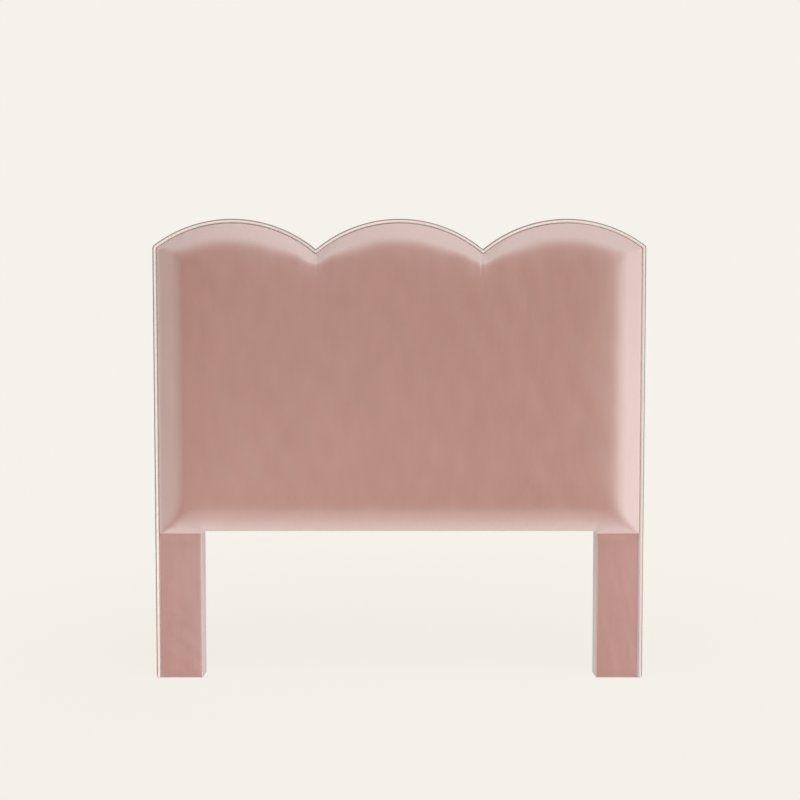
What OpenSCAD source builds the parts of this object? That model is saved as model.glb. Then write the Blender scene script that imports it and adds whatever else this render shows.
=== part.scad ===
// Upholstered headboard with a three-scallop crest and two upholstered legs.
// X is the width, the padded front faces -Y, Z is up. The origin lies on the floor,
// under the middle of the headboard's bounding box.

/* [Overall] */
// Width over the fabric of both sides
overall_w = 1575; // [1555:5:1585]
// Distance between the centres of neighbouring scallops
lobe_pitch = 532; // [528:1:536]
// Radius of each scallop, measured on the board
lobe_r = 410; // [404:1:420]
// Height of the scallop centres above the floor
lobe_z = 1064; // [1050:1:1100]
// Radius that eases the two upper corners of the board
corner_r = 5; // [5:1:12]
// Height of the board's lower edge above the floor
panel_z = 484; // [470:1:500]

/* [Frame] */
// Width of each post
post_w = 140; // [130:1:150]
// Thickness of posts, rails and stiles
frame_t = 45; // [42:1:50]
// Height of the crest rail at the top of a scallop
crest_h = 184; // [170:1:200]
// Height of the mid and bottom rails
rail_h = 145; // [130:1:150]
// Width of the centre stiles
stile_w = 95; // [90:1:120]
// Thickness of the plywood on the front of the frame
ply_t = 9; // [9:1:12]
// Length of the two equal sides of a corner block
block_leg = 90; // [80:1:110]

/* [Padding] */
// Depth of the pad in front of the plywood
pad_d = 38; // [34:1:45]
// Width of the soft roll around the pad
roll_w = 100; // [80:1:120]
// Thickness of the batting over the foam
batting_t = 4; // [3:0.5:6]
// Thickness of the velvet
velvet_t = 1.5; // [1:0.1:2]
// Thickness of the batting under the leg covers
leg_batting_t = 1.8; // [1:0.1:2.5]

/* [Welt] */
// Radius of the welt over its fabric
welt_r = 4.75; // [4.5:0.05:5]
// Radius of the filler cord in the welt
cord_r = 3.2; // [3:0.1:3.4]

/* [Hardware] */
// Radius of the frame dowels
dowel_r = 5; // [4:0.5:6]
// Length of the frame dowels
dowel_l = 80; // [60:5:90]
// Radius of the bed-frame bolt holes
bolt_r = 4.5; // [4:0.25:5.5]
// Height of the lower bed-frame bolt holes
bolt_z = 190; // [170:5:230]
// Height from the lower to the upper bed-frame bolt holes
bolt_pitch = 100; // [80:5:120]
// Radius of each floor glide
glide_r = 12.5; // [10:0.5:14]
// Height of each floor glide
glide_h = 2; // [1.5:0.5:3]

/* [Hidden] */

// Smoothness of round bars and bores, and of the large arcs
bar_fn = 32;
arc_fn = 180;

// Gap between pieces that lie against each other
gap = 0.2;

// Edge of the board: the boxing and its tack strip lie outside it
edge_t = 7;
half_w = overall_w / 2 - edge_t;
inner_x = half_w - post_w;
post_x = half_w - post_w / 2;

// Depth stack, from the front of the pad to the staples on the back
back_fabric_t = 1;
staple_t = 0.5;
overall_d = pad_d + ply_t + frame_t + back_fabric_t + staple_t;
face_y = pad_d - overall_d / 2;
frame_y = face_y + ply_t;
frame_mid_y = frame_y + frame_t / 2;
back_y = frame_y + frame_t;
fabric_back_y = back_y + back_fabric_t;

// Heights of the frame members
crest_z = lobe_z + lobe_r - crest_h;
bottom_rail_top = panel_z + rail_h;
mid_rail_z = (bottom_rail_top + crest_z - rail_h) / 2;
mid_rail_top = mid_rail_z + rail_h;

// Where two scallops meet, on the board's outline
cusp_x = lobe_pitch / 2;
cusp_angle = acos(cusp_x / lobe_r);
cusp_z = lobe_z + lobe_r * sin(cusp_angle);

// Room above everything, for cutting shapes
big = 2000;

// ---------------------------------------------------------------- outlines

// Centre of the eased corner for a scallop radius r, a side at x and a corner radius c
function corner_z(r, x, c) =
    lobe_z + sqrt(pow(r - c, 2) - pow(x - c - lobe_pitch, 2));

// Exact outline of the board, drawn in by inset (or out, when it is negative)
module board_2d(inset, low) {
    r = lobe_r - inset;
    side = half_w - inset;
    c = max(corner_r - inset, 1);
    cx = side - c;
    cz = corner_z(r, side, c);
    turn = atan2(cz - lobe_z, cx - lobe_pitch);
    difference() {
        intersection() {
            union() {
                for (i = [-1:1]) translate([i * lobe_pitch, lobe_z]) circle(r = r, $fn = arc_fn);
                translate([-side, low]) square([2 * side, lobe_z - low]);
            }
            translate([-side, low]) square([2 * side, big]);
        }
        for (m = [0, 1]) mirror([m, 0]) translate([cx, cz]) corner_wedge(3 * c, turn);
    }
    for (m = [0, 1]) mirror([m, 0]) translate([cx, cz]) intersection() {
        corner_wedge(3 * c, turn);
        circle(r = c, $fn = arc_fn);
    }
}

// Wedge from an eased corner's centre outwards, from the X axis up to the angle turn
module corner_wedge(reach, turn) {
    polygon([[0, 0], [reach, 0], [reach, reach], reach * [cos(turn), sin(turn)]]);
}

// Part of the board's outline above a height
module board_above_2d(inset, low) {
    intersection() {
        board_2d(inset, panel_z);
        translate([-big / 2, low]) square([big, big]);
    }
}

// Stands a flat outline up: it fills the depth from y to y + t
module slab(y, t) {
    translate([0, y + t, 0]) rotate([90, 0, 0]) linear_extrude(t) children();
}

// Points on an arc, without its last point
function arc(cx, cz, r, from, to, n) =
    [for (k = [0:n - 1]) let (a = from + (to - from) * k / n) [cx + r * cos(a), cz + r * sin(a)]];

// Right half of the pad's outline, from the middle of the lower edge round to the crest
function half_outline(inset) = let (
    r = lobe_r - inset,
    side = half_w - inset,
    c = max(corner_r - inset, 8),
    cx = side - c,
    cz = corner_z(r, side, c),
    turn = atan2(cz - lobe_z, cx - lobe_pitch),
    low_mid = pad_low_z + inset,
    low_leg = pad_low_z - leg_lap + inset
) concat(
    [[inner_x - 14, low_mid], [inner_x - 4, low_leg], [(inner_x + side) / 2, low_leg], [side, low_leg]],
    [for (k = [1:side_steps]) [side, low_leg + (cz - low_leg) * k / (side_steps + 1)]],
    arc(cx, cz, c, 0, turn, 4),
    arc(lobe_pitch, lobe_z, r, turn, 180 - cusp_angle, 14),
    arc(cusp_x, cusp_z, inset, -cusp_angle, cusp_angle - 180, 5),
    arc(0, lobe_z, r, cusp_angle, 90, 8)
);

// Whole outline of the pad at an inset, as points at depth y
function pad_ring(inset, y) = let (
    half = half_outline(inset),
    n = len(half)
) concat(
    [for (p = half) [p[0], y, p[1]]],
    [[0, y, lobe_z + lobe_r - inset]],
    [for (k = [n - 1:-1:0]) [-half[k][0], y, half[k][1]]]
);

// Lower edge of the pad between the legs, before its inset, and its lap over the legs
pad_low_z = panel_z - 12;
leg_lap = 7.6;
side_steps = 6;

// Share of the full depth that the pad has reached at a share u of the roll's width
function crown(u) = pow(1 - pow(1 - u, 2), 0.6);

// Shares of the roll's width at which the pad has a ring
roll_steps = [0, 0.03, 0.1, 0.22, 0.38, 0.58, 0.8, 1];

// Rings of one layer of the pad, from its edge on the board to its flat front
function layer_rings(edge, depth) =
    [for (u = roll_steps) pad_ring(edge + (roll_w - edge) * u, face_y - depth * crown(u))];

function reversed(list) = [for (k = [len(list) - 1:-1:0]) list[k]];

// Closed solid through rings of equally many points, with its two end rings as caps
module loft(rings) {
    n = len(rings[0]);
    m = len(rings);
    points = [for (ring = rings) for (p = ring) p];
    bands = [
        for (j = [0:m - 2]) for (k = [0:n - 1]) let (a = j * n + k, b = j * n + (k + 1) % n)
            each [[a, b, b + n], [a, b + n, a + n]]
    ];
    first_cap = [for (k = [n - 1:-1:0]) k];
    last_cap = [for (k = [0:n - 1]) (m - 1) * n + k];
    polyhedron(points = points, faces = concat([first_cap], bands, [last_cap]), convexity = 10);
}

// Insets and depths of the layers of the pad
cover_edge = 4.3;
cover_in_edge = cover_edge + velvet_t;
batting_edge = cover_in_edge + gap;
batting_in_edge = batting_edge + 2.4;
foam_edge = batting_in_edge + gap;
cover_in_d = pad_d - velvet_t;
batting_d = cover_in_d - gap;
batting_in_d = batting_d - batting_t;
foam_d = batting_in_d - gap;

// ---------------------------------------------------------------- fasteners

// Draws a round bar of length l, centred on the given place, along X, Y or Z
module bar(place, along, r, l) {
    turn = along == "x" ? [0, 90, 0] : along == "y" ? [90, 0, 0] : [0, 0, 0];
    translate(place) rotate(turn) cylinder(r = r, h = l, center = true, $fn = bar_fn);
}

// Every dowel of the frame, drawn with radius r and length l
dowel_from_post_x = 35;
dowel_from_rail_z = 45;
dowel_from_stile_x = 25;
module dowel_set(r, l) {
    for (s = [-1, 1]) for (k = [-1, 1]) {
        bar([s * (post_x + k * dowel_from_post_x), frame_mid_y, crest_z], "z", r, l);
        for (z = [panel_z, mid_rail_z])
            bar([s * inner_x, frame_mid_y, z + rail_h / 2 + k * dowel_from_rail_z], "x", r, l);
    }
    for (k = [-1, 1]) for (z = [bottom_rail_top, mid_rail_z, mid_rail_top, crest_z])
        bar([k * dowel_from_stile_x, frame_mid_y, z], "z", r, l);
}

// Drilled holes for the dowels, a little longer than the dowels
dowel_hole_r = dowel_r + 0.05;
dowel_hole_l = dowel_l + 3;
module dowel_holes() { dowel_set(dowel_hole_r, dowel_hole_l); }

// Countersunk screws: head flush with the surface at y, shank towards the back
screw_r = 2;
screw_head_r = 4.2;
screw_head_l = 2.6;
panel_screw_l = 38;
facing_screw_l = 38;

// Places of the face panel's screws on the frame: x, z
post_screw_z = [for (k = [0:4]) panel_z + 60 + 165 * k];
rail_screw_x = [for (k = [-2:2]) 230 * k];
function panel_screw_sites() = concat(
    [for (s = [-1, 1]) for (z = post_screw_z) [s * (post_x + 30), z]],
    [for (x = rail_screw_x) for (z = [panel_z, mid_rail_z]) [x, z + rail_h / 4]],
    [for (i = [-1:1]) for (k = [-1, 1]) [i * lobe_pitch + k * 90, crest_z + crest_h / 3]]
);

// Places of the leg facings' screws on the posts: x, z
facing_screw_z = [40, 130, 350, 440];
function facing_screw_sites() =
    [for (s = [-1, 1]) for (k = [-1, 1]) for (z = facing_screw_z) [s * (post_x + k * 40), z]];

module countersunk_screws(sites, length) {
    for (p = sites) translate([p[0], face_y, p[1]]) rotate([-90, 0, 0]) {
        translate([0, 0, 0.1]) cylinder(r1 = screw_head_r, r2 = screw_r, h = screw_head_l, $fn = bar_fn);
        cylinder(r = screw_r, h = length, $fn = bar_fn);
    }
}

// Holes for those screws: a countersink with the head's slope, and a bore round the shank
module countersunk_holes(sites, length) {
    for (p = sites) translate([p[0], face_y, p[1]]) rotate([-90, 0, 0]) {
        translate([0, 0, -1]) cylinder(r = screw_head_r + 0.1, h = 1.1, $fn = bar_fn);
        translate([0, 0, 0.1])
            cylinder(r1 = screw_head_r + 0.1, r2 = screw_r + 0.1, h = screw_head_l, $fn = bar_fn);
        cylinder(r = screw_r + 0.05, h = length + 1, $fn = bar_fn);
    }
}

// Screws of the corner blocks, one into the post and one into the rail
block_screw_r = 2.25;
block_head_r = 4.5;
block_head_l = 3;
block_screw_l = 55;
block_web = 22;
block_off = 55;
module block_screw(r, head_r, head_l, extra) {
    translate([0, 0, -block_web]) cylinder(r = head_r, h = head_l, $fn = bar_fn);
    translate([0, 0, -block_web]) cylinder(r = r, h = block_screw_l + extra, $fn = bar_fn);
}

// Both screws in the block's own frame: its right angle at the origin, in the XZ plane
module block_screw_pair(r, head_r, head_l, extra) {
    translate([0, 0, block_off]) rotate([0, -90, 0]) block_screw(r, head_r, head_l, extra);
    translate([block_off, 0, 0]) rotate([180, 0, 0]) block_screw(r, head_r, head_l, extra);
}

// Draws its children at the four inner corners where the rails meet the posts
module at_corners() {
    for (m = [0, 1]) mirror([m, 0, 0]) {
        translate([-inner_x, frame_mid_y, bottom_rail_top]) children();
        translate([-inner_x, frame_mid_y, crest_z]) mirror([0, 0, 1]) children();
    }
}

module block_screw_holes() {
    at_corners() block_screw_pair(block_screw_r + 0.05, block_head_r + 0.5, 0.01, 1);
}

// Bolt holes for the bed frame, through both legs
module bolt_holes() {
    for (s = [-1, 1]) for (z = [bolt_z, bolt_z + bolt_pitch])
        translate([s * post_x, face_y - 1, z]) rotate([-90, 0, 0])
            cylinder(r = bolt_r, h = overall_d, $fn = bar_fn);
}

// Places of the glides under one leg: y, and the nails in them
nail_r = 1.25;
nail_l = 16;
function glide_sites() = [face_y + glide_r, back_y - glide_r - 1];

module nail_holes() {
    for (s = [-1, 1]) for (y = glide_sites())
        translate([s * post_x, y, 0]) cylinder(r = nail_r + 0.05, h = glide_h + nail_l + 1, $fn = bar_fn);
}

// ---------------------------------------------------------------- frame

module post(s) {
    color("burlywood") difference() {
        translate([s * post_x - post_w / 2, frame_y, glide_h])
            cube([post_w, frame_t, crest_z - glide_h]);
        dowel_holes();
        countersunk_holes(panel_screw_sites(), panel_screw_l);
        countersunk_holes(facing_screw_sites(), facing_screw_l);
        block_screw_holes();
        bolt_holes();
        nail_holes();
    }
}

module left_post() { post(-1); }
module right_post() { post(1); }

module crest_rail() {
    color("burlywood") difference() {
        slab(frame_y, frame_t) board_above_2d(0, crest_z);
        dowel_holes();
        countersunk_holes(panel_screw_sites(), panel_screw_l);
        block_screw_holes();
    }
}

module rail(z) {
    color("burlywood") difference() {
        translate([-inner_x, frame_y, z]) cube([2 * inner_x, frame_t, rail_h]);
        dowel_holes();
        countersunk_holes(panel_screw_sites(), panel_screw_l);
        block_screw_holes();
    }
}

module mid_rail() { rail(mid_rail_z); }
module bottom_rail() { rail(panel_z); }

module stile(low, high) {
    color("burlywood") difference() {
        translate([-stile_w / 2, frame_y, low]) cube([stile_w, frame_t, high - low]);
        dowel_holes();
    }
}

module lower_stile() { stile(bottom_rail_top, mid_rail_z); }
module upper_stile() { stile(mid_rail_top, crest_z); }

// Triangular glue blocks, drilled and counterbored for their screws
block_t = 32;
module corner_blocks() {
    color("tan") at_corners() difference() {
        translate([0, block_t / 2, 0]) rotate([90, 0, 0]) linear_extrude(block_t)
            polygon([[0, 0], [block_leg, 0], [0, block_leg]]);
        block_screw_pair(block_screw_r + 0.05, block_head_r + 0.5, 0.01, 1);
        translate([0, 0, block_off]) rotate([0, 90, 0])
            translate([0, 0, block_web - block_head_l]) cylinder(r = block_head_r + 0.5, h = big, $fn = bar_fn);
        translate([block_off, 0, block_web - block_head_l])
            cylinder(r = block_head_r + 0.5, h = big, $fn = bar_fn);
    }
}

module frame_dowels() { color("wheat") dowel_set(dowel_r, dowel_l); }

module block_screws() {
    color("silver") at_corners() block_screw_pair(block_screw_r, block_head_r, block_head_l, 0);
}

module face_panel() {
    color("peru") difference() {
        slab(face_y, ply_t) board_2d(0, panel_z);
        countersunk_holes(panel_screw_sites(), panel_screw_l);
    }
}

module leg_facing(s) {
    color("peru") difference() {
        translate([s * post_x - post_w / 2, face_y, glide_h])
            cube([post_w, ply_t, panel_z - gap - glide_h]);
        countersunk_holes(facing_screw_sites(), facing_screw_l);
        bolt_holes();
    }
}

module left_leg_facing() { leg_facing(-1); }
module right_leg_facing() { leg_facing(1); }

module panel_screws() {
    color("silver") countersunk_screws(panel_screw_sites(), panel_screw_l);
}

module facing_screws() {
    color("silver") countersunk_screws(facing_screw_sites(), facing_screw_l);
}

// ---------------------------------------------------------------- padding

module foam_slab() {
    color("khaki") loft(layer_rings(foam_edge, foam_d));
}

module batting() {
    color("white") loft(concat(
        reversed(layer_rings(batting_edge, batting_d)),
        layer_rings(batting_in_edge, batting_in_d)
    ));
}

// The velvet over the pad, and its lower margin turned under the bottom rail
module front_cover() {
    color("rosybrown") {
        loft(concat(
            reversed(layer_rings(cover_edge, pad_d)),
            layer_rings(cover_in_edge, cover_in_d)
        ));
        translate([gap - inner_x + leg_wrap_t, face_y + gap, panel_z - gap - velvet_t])
            cube([2 * (inner_x - leg_wrap_t - gap), fabric_back_y - face_y - gap, velvet_t]);
    }
}

// ---------------------------------------------------------------- welt

// The welt lies on the front edge of the board
welt_out = 1;
welt_y = face_y - welt_r - gap;

// A round bar or tube along the welt's route, from the left foot over the crest to the right
// foot, with a mitre at each cusp
module welt_route(r, bore) {
    rr = lobe_r + welt_out;
    side = half_w + welt_out;
    c = corner_r + welt_out;
    cx = side - c;
    cz = corner_z(rr, side, c);
    turn = atan2(cz - lobe_z, cx - lobe_pitch);
    low = glide_h + 0.5;
    spare = 3;
    for (m = [0, 1]) mirror([m, 0, 0]) {
        translate([side, welt_y, low]) linear_extrude(cz - low) welt_section(r, bore);
        translate([cx, welt_y, cz]) rotate([90, 0, 0])
            rotate_extrude(angle = turn, $fn = arc_fn) translate([c, 0]) welt_section(r, bore);
        intersection() {
            translate([lobe_pitch, welt_y, lobe_z]) rotate([90, 0, 0]) rotate([0, 0, turn])
                rotate_extrude(angle = 180 - cusp_angle + spare - turn, $fn = arc_fn)
                    translate([rr, 0]) welt_section(r, bore);
            translate([cusp_x, welt_y - big / 2, 0]) cube([big, big, big]);
        }
    }
    intersection() {
        translate([0, welt_y, lobe_z]) rotate([90, 0, 0]) rotate([0, 0, cusp_angle - spare])
            rotate_extrude(angle = 180 - 2 * cusp_angle + 2 * spare, $fn = arc_fn)
                translate([rr, 0]) welt_section(r, bore);
        translate([-cusp_x, welt_y - big / 2, 0]) cube([2 * cusp_x, big, big]);
    }
}

// Section of the welt or its cord, with a bore where it has one
module welt_section(r, bore) {
    difference() {
        circle(r = r, $fn = bar_fn);
        if (bore > 0) circle(r = bore, $fn = bar_fn);
    }
}

module welt_cord() { color("ivory") welt_route(cord_r, 0); }
module welt_cover() { color("rosybrown") welt_route(welt_r, cord_r + 0.1); }

// ---------------------------------------------------------------- edge fabric

// Cardboard strip stapled round the edge of the board, behind the welt
tack_t = 1;
tack_w = 12;
module tack_strip() {
    color("tan") slab(face_y + gap, tack_w) difference() {
        board_2d(-gap / 2 - tack_t, glide_h + 1);
        board_2d(-gap / 2, 0);
    }
}

// Band of velvet over thin batting, round the outside of the board
boxing_in = gap + tack_t + 0.1;
side_top_z = corner_z(lobe_r, half_w, corner_r);
side_zone = 60;
module boxing_band_2d() {
    difference() {
        board_2d(-edge_t, glide_h + 0.5);
        board_2d(-boxing_in, 0);
    }
}

module side_zone_2d(s) {
    translate([s > 0 ? half_w - side_zone : -half_w - side_zone, 0])
        square([2 * side_zone, side_top_z]);
}

module side_boxing(s) {
    color("rosybrown") slab(face_y + gap, fabric_back_y - face_y - gap)
        intersection() {
            boxing_band_2d();
            side_zone_2d(s);
        }
}

module left_boxing() { side_boxing(-1); }
module right_boxing() { side_boxing(1); }

module crest_boxing() {
    color("rosybrown") slab(face_y + gap, fabric_back_y - face_y - gap)
        difference() {
            boxing_band_2d();
            for (s = [-1, 1]) side_zone_2d(s);
        }
}

// ---------------------------------------------------------------- legs

// Leg fabric stack on the front and the inner side of a leg
leg_cover_t = 1;
leg_wrap_t = leg_batting_t + leg_cover_t + gap;
leg_out_x = half_w - cover_edge;
leg_top_z = pad_low_z - leg_lap + cover_edge - gap;
wrap_top_z = panel_z - velvet_t - 2 * gap;

// Outline of a leg's wrap, open on the outer side: its inner face at depth d from the wood
module wrap_2d(d, t, back) {
    translate([inner_x - d - t, face_y - d - t])
        square([leg_out_x - inner_x + d + t, t]);
    translate([inner_x - d - t, face_y - d - t])
        square([t, (back ? fabric_back_y : back_y) - face_y + d + t]);
    if (back) translate([inner_x - d - t, back_y]) square([leg_out_x - inner_x + d + t, back_fabric_t]);
}

// The wrap of one leg: its front stops under the pad, its inner side at the bottom rail
module leg_wrap(s, d, t, back) {
    mirror([s > 0 ? 0 : 1, 0, 0]) difference() {
        translate([0, 0, glide_h + 0.5]) linear_extrude(wrap_top_z - glide_h - 0.5) wrap_2d(d, t, back);
        translate([0, face_y - big, leg_top_z]) cube([big, big, big]);
    }
}

module leg_batting(s) { color("white") leg_wrap(s, gap / 2, leg_batting_t, false); }
module leg_cover(s) {
    color("rosybrown") difference() {
        leg_wrap(s, gap / 2 + leg_batting_t + gap / 2, leg_cover_t, true);
        intersection() {
            bolt_holes();
            translate([-big / 2, frame_mid_y, 0]) cube([big, big, big]);
        }
    }
}

module left_leg_batting() { leg_batting(-1); }
module right_leg_batting() { leg_batting(1); }
module left_leg_cover() { leg_cover(-1); }
module right_leg_cover() { leg_cover(1); }

// ---------------------------------------------------------------- back

dust_t = 0.5;
dust_in = 8;
module dust_cover() {
    color("dimgray") slab(fabric_back_y - dust_t, dust_t) board_2d(dust_in, panel_z + dust_in);
}

// One staple's crown on the back, along a direction in the XZ plane
staple_w = 12;
staple_h = 1.2;
staple_in = 14;
module staple(x, z, angle) {
    translate([x, fabric_back_y, z]) rotate([0, -angle, 0])
        translate([-staple_w / 2, 0, -staple_h / 2]) cube([staple_w, staple_t, staple_h]);
}

module back_staples() {
    step = 75;
    low = panel_z + staple_in;
    side = half_w - staple_in;
    arc_r = lobe_r - staple_in;
    centre_reach = 35;
    color("silver") {
        for (x = [-9 * step:step:9 * step]) staple(x, low, 0);
        for (s = [-1, 1]) for (k = [1:11]) staple(s * side, low + step * k, 90);
        for (i = [-1:1]) for (a = [90 - centre_reach:10:90 + centre_reach])
            staple(i * lobe_pitch + arc_r * cos(a), lobe_z + arc_r * sin(a), a - 90);
        for (s = [-1, 1]) for (k = [0:5]) staple(s * (leg_out_x - 8), 40 + step * k, 90);
    }
}

// ---------------------------------------------------------------- feet

module floor_glides(s) {
    color("gainsboro") for (y = glide_sites()) translate([s * post_x, y, 0]) {
        cylinder(r = glide_r, h = glide_h, $fn = bar_fn);
        cylinder(r = nail_r, h = glide_h + nail_l, $fn = bar_fn);
    }
}

module left_floor_glides() { floor_glides(-1); }
module right_floor_glides() { floor_glides(1); }

// ---------------------------------------------------------------- assembly

left_post();
right_post();
crest_rail();
mid_rail();
bottom_rail();
lower_stile();
upper_stile();
corner_blocks();
frame_dowels();
block_screws();
face_panel();
left_leg_facing();
right_leg_facing();
panel_screws();
facing_screws();
foam_slab();
batting();
front_cover();
welt_cord();
welt_cover();
tack_strip();
left_boxing();
crest_boxing();
right_boxing();
left_leg_batting();
right_leg_batting();
left_leg_cover();
right_leg_cover();
dust_cover();
back_staples();
left_floor_glides();
right_floor_glides();
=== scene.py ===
import math

import bmesh
import bpy
import numpy as np
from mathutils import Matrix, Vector
from mathutils.geometry import delaunay_2d_cdt


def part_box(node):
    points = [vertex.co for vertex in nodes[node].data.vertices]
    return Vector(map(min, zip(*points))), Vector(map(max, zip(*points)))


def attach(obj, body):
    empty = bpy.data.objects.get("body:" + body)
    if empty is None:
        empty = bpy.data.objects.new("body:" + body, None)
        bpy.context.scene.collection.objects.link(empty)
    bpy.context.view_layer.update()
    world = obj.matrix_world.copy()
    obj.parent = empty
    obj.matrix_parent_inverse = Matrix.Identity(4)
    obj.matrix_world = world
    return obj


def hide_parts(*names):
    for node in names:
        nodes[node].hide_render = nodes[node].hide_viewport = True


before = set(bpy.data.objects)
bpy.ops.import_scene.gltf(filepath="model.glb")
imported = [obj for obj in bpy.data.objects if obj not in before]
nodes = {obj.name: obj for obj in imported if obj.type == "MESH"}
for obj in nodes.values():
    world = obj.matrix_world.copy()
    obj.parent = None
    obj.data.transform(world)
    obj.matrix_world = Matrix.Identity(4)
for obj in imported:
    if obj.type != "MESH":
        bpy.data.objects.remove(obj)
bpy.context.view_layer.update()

# An upholstered headboard: a crowned velvet pad with three scallops, a welt round its edge, boxing
# round its sides and two velvet legs. Lengths are in metres, in the frame of the CAD model.

scene = bpy.context.scene

# ---------------------------------------------------------------- places from the CAD

panel_low, panel_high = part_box("face_panel")
post_low, post_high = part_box("right_post")
cover_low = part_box("front_cover")[0]
dust_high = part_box("dust_cover")[1]
HALF_W = panel_high.x
FACE_Y = panel_low.y
PANEL_Z = panel_low.z
INNER_X = post_low.x
POST_X = (post_low.x + post_high.x) / 2
BACK_Y = post_high.y
FABRIC_BACK_Y = dust_high.y
PAD_D = FACE_Y - cover_low.y
LOBE_PITCH = 0.532
LOBE_R = 0.410
LOBE_Z = panel_high.z - LOBE_R
CORNER_R = 0.007
CUSP_X = LOBE_PITCH / 2
CUSP_Z = LOBE_Z + math.sqrt(LOBE_R ** 2 - CUSP_X ** 2)
EDGE_T = 0.007
WELT_R = 0.0057
FOOT_Z = 0.0008
VELVET_T = 0.0006


# ---------------------------------------------------------------- mesh helpers

def smooth(t):
    """Smooth step from 0 to 1."""
    t = np.clip(t, 0.0, 1.0)
    return t * t * (3.0 - 2.0 * t)


def make_object(name, points, faces, shaded=True):
    """A mesh object at the origin, with its normals pointing outwards."""
    mesh = bpy.data.meshes.new(name)
    mesh.from_pydata([tuple(p) for p in points], [], [tuple(int(i) for i in f) for f in faces])
    mesh.validate()
    mesh.update()
    obj = bpy.data.objects.new(name, mesh)
    scene.collection.objects.link(obj)
    mesh.polygons.foreach_set("use_smooth", [shaded] * len(mesh.polygons))
    return obj


def face_outwards(obj):
    bm = bmesh.new()
    bm.from_mesh(obj.data)
    bmesh.ops.recalc_face_normals(bm, faces=bm.faces)
    bm.to_mesh(obj.data)
    bm.free()


def read_points(obj):
    co = np.empty(len(obj.data.vertices) * 3)
    obj.data.vertices.foreach_get("co", co)
    return co.reshape(-1, 3)


def write_points(obj, co):
    obj.data.vertices.foreach_set("co", np.ascontiguousarray(co).ravel())
    obj.data.update()


def read_normals(obj):
    no = np.empty(len(obj.data.vertices) * 3)
    obj.data.vertices.foreach_get("normal", no)
    return no.reshape(-1, 3)


def apply_modifiers(obj):
    depsgraph = bpy.context.evaluated_depsgraph_get()
    mesh = bpy.data.meshes.new_from_object(obj.evaluated_get(depsgraph))
    old = obj.data
    obj.modifiers.clear()
    obj.data = mesh
    mesh.name = obj.name
    bpy.data.meshes.remove(old)


def subdivide(obj, levels=1):
    mod = obj.modifiers.new("subdivision", "SUBSURF")
    mod.levels = mod.render_levels = levels
    apply_modifiers(obj)


def waves(points, scale, seed, count=10):
    """Smooth seeded noise from -1 to 1 at the points: a sum of sine waves about scale metres long."""
    draw = np.random.default_rng(seed)
    total = np.zeros(len(points))
    for _ in range(count):
        direction = draw.normal(size=3)
        direction /= np.linalg.norm(direction)
        length = scale * draw.uniform(0.7, 1.6)
        total += np.sin(points @ direction * (2 * math.pi / length) + draw.uniform(0, 2 * math.pi))
    return total / math.sqrt(count * 2.0) / 1.5


def lattice_faces(rows, columns, closed_rows=False, closed_columns=False):
    """Quads between neighbouring points of a grid stored row by row."""
    r = np.arange(rows if closed_rows else rows - 1)
    c = np.arange(columns if closed_columns else columns - 1)
    rr, cc = np.meshgrid(r, c, indexing="ij")
    r1, c1 = (rr + 1) % rows, (cc + 1) % columns
    quads = np.stack([rr * columns + cc, rr * columns + c1, r1 * columns + c1, r1 * columns + cc], -1)
    return quads.reshape(-1, 4)


def tube_mesh(name, sections):
    """A closed solid through equally long closed sections, with flat caps at both ends."""
    rows, columns = len(sections), len(sections[0])
    points = np.concatenate(sections)
    faces = [tuple(f) for f in lattice_faces(rows, columns, closed_columns=True)]
    faces.append(tuple(range(columns - 1, -1, -1)))
    faces.append(tuple(range((rows - 1) * columns, rows * columns)))
    obj = make_object(name, points, faces)
    face_outwards(obj)
    return obj


# ---------------------------------------------------------------- outlines of the board

def corner_place(offset):
    """Centre, radius and turn of the eased upper corner, for an outline at an offset."""
    c = max(CORNER_R + offset, 0.0008)
    cx = HALF_W + offset - c
    cz = LOBE_Z + math.sqrt((LOBE_R + offset - c) ** 2 - (cx - LOBE_PITCH) ** 2)
    return c, cx, cz, math.atan2(cz - LOBE_Z, cx - LOBE_PITCH)


def side_points(offset, low, count):
    """Points up the right side of the outline, ending before its upper corner."""
    z = np.linspace(low, corner_place(offset)[2], count)
    return np.stack([np.full(count, HALF_W + offset), z], 1)


CORNER_N, LOBE_N = 8, 104


def crest_points(offset):
    """Points over the crest from the right upper corner to the left one, mitred at the cusps."""
    c, cx, cz, turn = corner_place(offset)
    r = LOBE_R + offset
    cusp = math.acos(CUSP_X / r)
    corner = np.linspace(0, turn, CORNER_N, endpoint=False)
    outer = np.linspace(turn, math.pi - cusp, LOBE_N)
    centre = np.linspace(cusp, math.pi / 2, LOBE_N // 2)
    right = np.concatenate([
        np.stack([cx + c * np.cos(corner), cz + c * np.sin(corner)], 1),
        np.stack([LOBE_PITCH + r * np.cos(outer), LOBE_Z + r * np.sin(outer)], 1),
        np.stack([r * np.cos(centre), LOBE_Z + r * np.sin(centre)], 1)[1:],
    ])
    left = right[:-1][::-1] * np.array([-1.0, 1.0])
    return np.concatenate([right, left])


# ---------------------------------------------------------------- the pad

COVER_EDGE = 0.0059
PAD_LOW_Z = PANEL_Z - 0.012
LEG_LAP = 0.0076
LATTICE = 0.0125
RING_STEPS = [0.0, 0.0012, 0.003, 0.006, 0.0105, 0.017]
STEP_IN, STEP_OUT = INNER_X - 0.0125, INNER_X - 0.004


def low_edge(x):
    """Height of the pad's lower edge before its inset: lower where the pad laps over the legs."""
    return PAD_LOW_Z - LEG_LAP * smooth((np.abs(x) - STEP_IN) / (STEP_OUT - STEP_IN))


def soft_min(a, b):
    """The smaller of two heights of the pad, rounded where they are alike, and more so high up."""
    k = np.clip(0.25 * (np.minimum(a, b) - 0.012), 0.0008, 0.007)
    h = np.maximum(k - np.abs(a - b), 0.0) / k
    return np.minimum(a, b) - h * h * k / 4


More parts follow.
